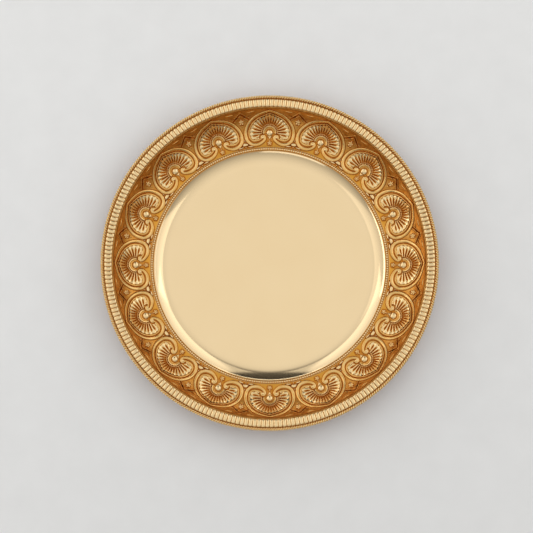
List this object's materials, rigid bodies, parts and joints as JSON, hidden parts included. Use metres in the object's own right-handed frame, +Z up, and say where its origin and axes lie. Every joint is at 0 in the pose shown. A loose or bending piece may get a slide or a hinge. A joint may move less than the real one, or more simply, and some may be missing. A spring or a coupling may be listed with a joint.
{
  "type": "thali plate",
  "caption": "Round gold thali plate with a mirror-polished well, a beaded ring, a concave border of heart-shaped palmettes, a reeded rim and a rope edge, for serving food.",
  "frame": {"origin": "middle of the flat underside, which rests on the table", "axes": "+Z up along the plate's axis, +Y towards the first palmette"},
  "size_m": [0.2998, 0.2998, 0.027],
  "materials": {
    "mirror_gold": "mirror polish",
    "bright_gold": "polished",
    "antique_gold": "polished crests over darker recesses"
  },
  "bodies": {
    "root": {"dish": "mirror_gold", "well_wire": "bright_gold", "bead_wire": "bright_gold", "sill_wire": "bright_gold", "border_band": "antique_gold", "rim_wire": "bright_gold", "fluted_band": "bright_gold", "rope_edge": "bright_gold", "palmette_01": "antique_gold", "pearl_01": "bright_gold", "palmette_02": "antique_gold", "pearl_02": "bright_gold", "palmette_03": "antique_gold", "pearl_03": "bright_gold", "palmette_04": "antique_gold", "pearl_04": "bright_gold", "palmette_05": "antique_gold", "pearl_05": "bright_gold", "palmette_06": "antique_gold", "pearl_06": "bright_gold", "palmette_07": "antique_gold", "pearl_07": "bright_gold", "palmette_08": "antique_gold", "pearl_08": "bright_gold", "palmette_09": "antique_gold", "pearl_09": "bright_gold", "palmette_10": "antique_gold", "pearl_10": "bright_gold", "palmette_11": "antique_gold", "pearl_11": "bright_gold", "palmette_12": "antique_gold", "pearl_12": "bright_gold", "palmette_13": "antique_gold", "pearl_13": "bright_gold", "palmette_14": "antique_gold", "pearl_14": "bright_gold", "palmette_15": "antique_gold", "pearl_15": "bright_gold", "palmette_16": "antique_gold", "pearl_16": "bright_gold"}
  },
  "joints": []
}
